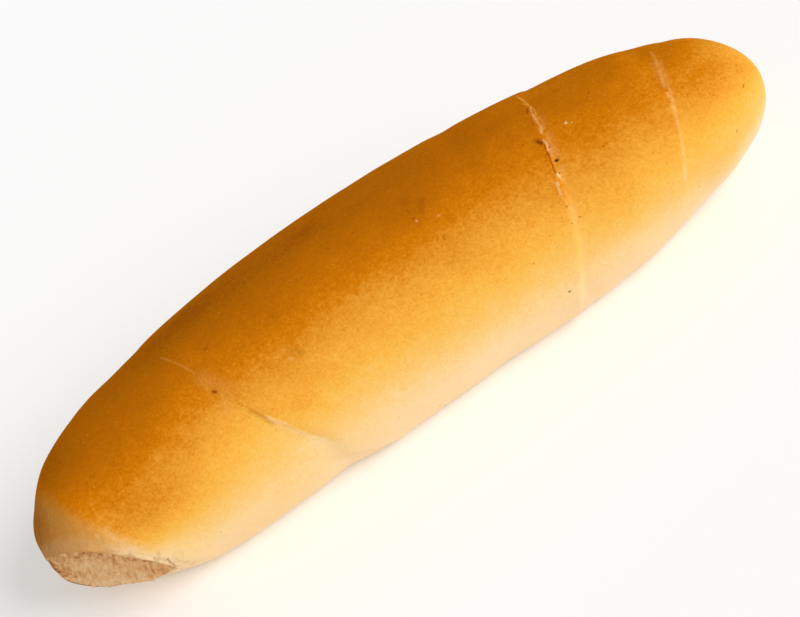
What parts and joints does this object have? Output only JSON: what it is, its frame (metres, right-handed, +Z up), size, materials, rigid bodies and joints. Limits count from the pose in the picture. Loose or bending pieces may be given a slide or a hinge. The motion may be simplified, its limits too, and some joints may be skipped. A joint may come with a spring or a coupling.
{
  "type": "rohlik bread roll",
  "caption": "Long white bread roll wound up from a sheet of dough, with browned top, pale flanks, spiral seams and a flat base.",
  "frame": {"origin": "on the surface the roll lies on, under the middle of its box", "axes": "+X along the roll towards the whole end, -Y towards the pale front with the torn place, +Z up"},
  "size_m": [0.17, 0.0476, 0.0411],
  "materials": {
    "crust": "baked crust, satin brown on top and dull pale cream low on the flanks",
    "crumb": "torn white crumb, dry, matt and fibrous"
  },
  "bodies": {
    "root": {"roll": "crust"}
  },
  "joints": []
}
